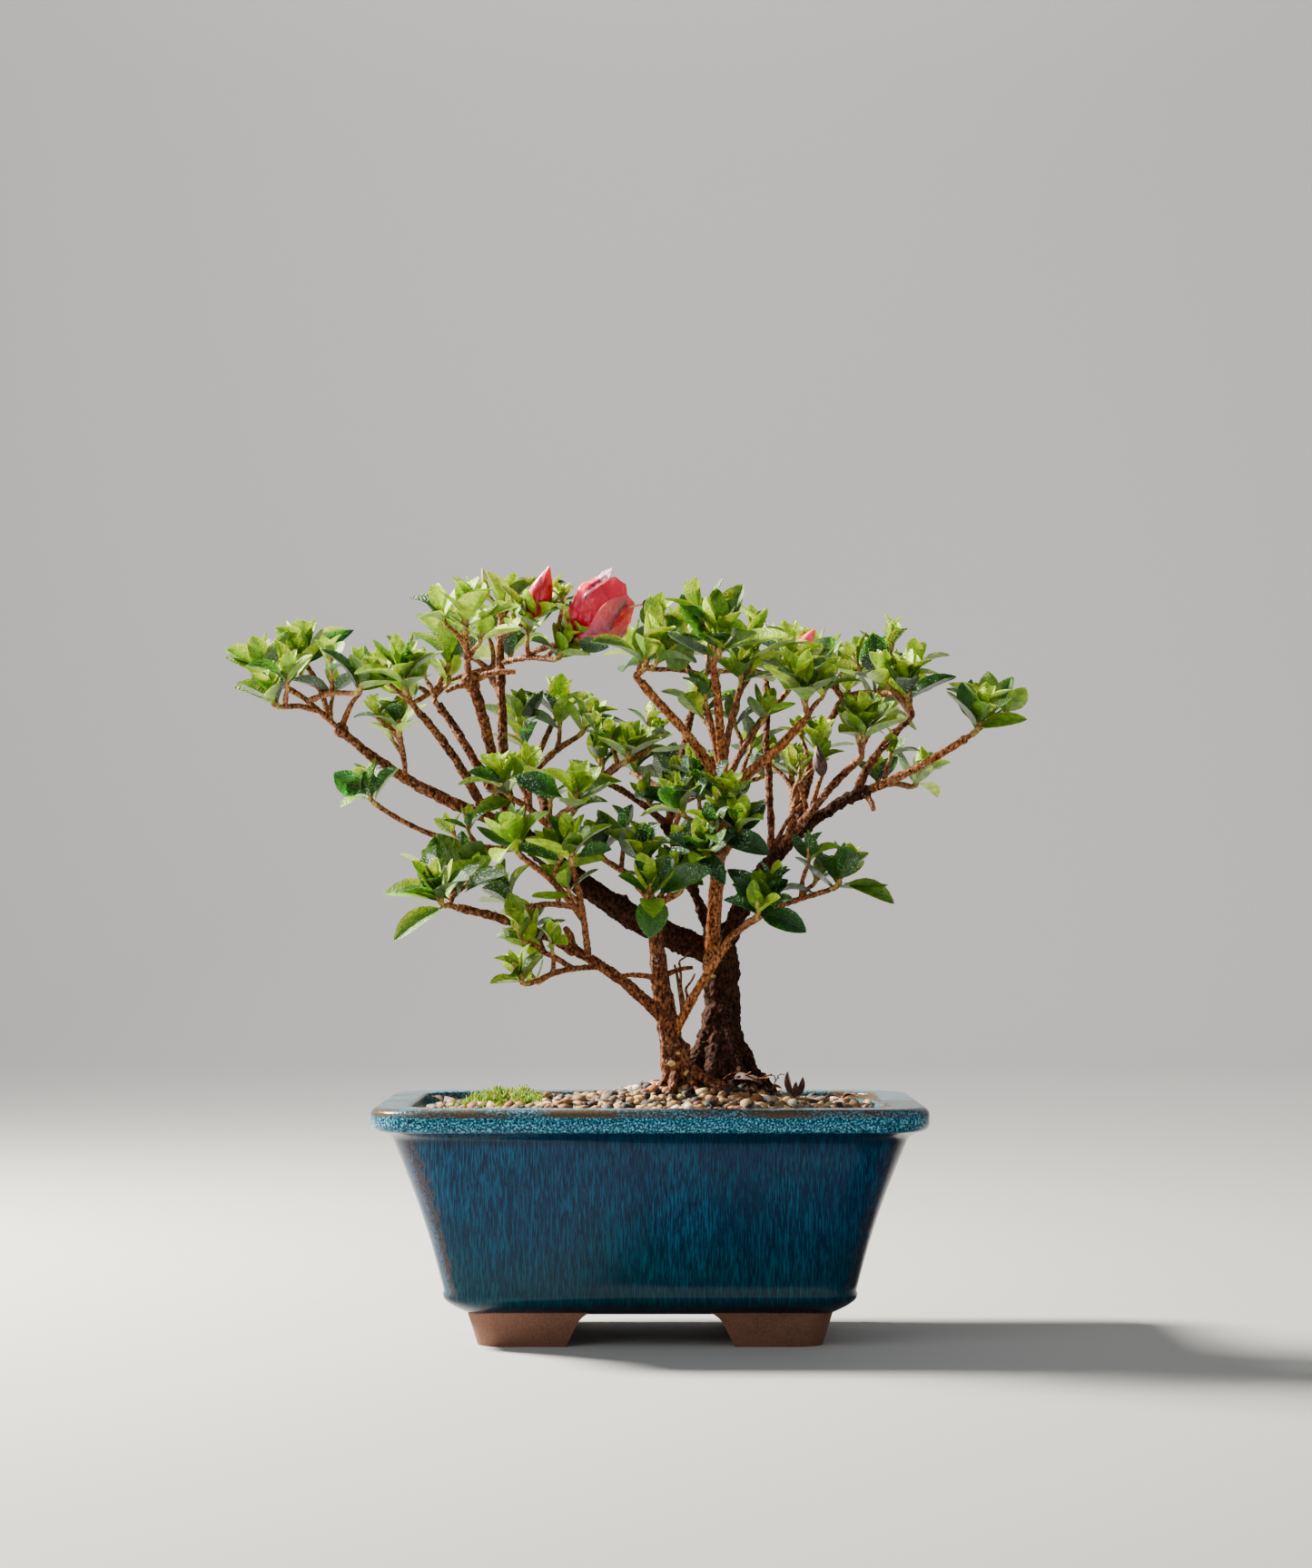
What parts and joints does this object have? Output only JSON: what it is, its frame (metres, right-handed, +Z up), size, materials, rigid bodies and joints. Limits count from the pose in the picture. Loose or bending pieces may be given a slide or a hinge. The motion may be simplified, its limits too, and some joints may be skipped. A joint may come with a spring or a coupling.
{
  "type": "azalea bonsai",
  "caption": "Azalea bonsai: forked trunk, spreading boughs, small pointed leaves, red buds and a flower, growing in a glazed rectangular pot on corner feet with a gravel top.",
  "frame": {"origin": "middle of the whole plant's box at table level, under the pot", "axes": "+Z up, +X along the pot's long side to the viewer's right, -Y towards the viewer"},
  "size_m": [0.2752, 0.15, 0.2606],
  "materials": {
    "glaze": "glossy teal-blue glaze streaked down the walls, bare red-brown clay feet",
    "gravel": "loose cream, tan and orange pebbles with a patch of moss",
    "old_bark": "rough dark plated bark",
    "young_bark": "red-brown scarred young bark",
    "foliage": "glossy green leaves, with coral-red flower and buds"
  },
  "bodies": {
    "root": {"back_bough": "young_bark", "back_left_bough": "young_bark", "back_right_bough": "young_bark", "centre_stem": "young_bark", "crossing_bough": "young_bark", "fan_bough_1": "young_bark", "fan_bough_3": "young_bark", "fan_bough_6": "young_bark", "far_left_bough": "young_bark", "far_right_bough": "young_bark", "front_stem": "young_bark", "leaves_back": "foliage", "leaves_back_left": "foliage", "leaves_back_low": "foliage", "leaves_back_right": "foliage", "leaves_centre": "foliage", "leaves_crossing": "foliage", "leaves_elbow": "foliage", "leaves_fan_1": "foliage", "leaves_fan_2": "foliage", "leaves_fan_3": "foliage", "leaves_fan_4": "foliage", "leaves_fan_5": "foliage", "leaves_fan_6": "foliage", "leaves_far_left": "foliage", "leaves_far_right": "foliage", "leaves_flower": "foliage", "leaves_front": "foliage", "leaves_left_1": "foliage", "leaves_left_2": "foliage", "leaves_left_3": "foliage", "leaves_left_4": "foliage", "leaves_left_5": "foliage", "leaves_left_small": "foliage", "leaves_low_far": "foliage", "leaves_low_left": "foliage", "leaves_low_under": "foliage", "leaves_low_upper": "foliage", "leaves_middle": "foliage", "leaves_middle_right": "foliage", "leaves_right_1": "foliage", "leaves_right_2": "foliage", "leaves_right_3": "foliage", "leaves_right_inner": "foliage", "leaves_right_low": "foliage", "left_bough_1": "young_bark", "left_bough_2": "young_bark", "left_bough_3": "young_bark", "left_bough_4": "young_bark", "left_limb": "old_bark", "low_left_bough": "young_bark", "mid_bough": "young_bark", "middle_limb": "old_bark", "pot": "glaze", "right_bough_1": "young_bark", "right_bough_2": "young_bark", "right_bough_3": "young_bark", "right_limb": "old_bark", "soil": "gravel", "trunk": "old_bark"}
  },
  "joints": []
}
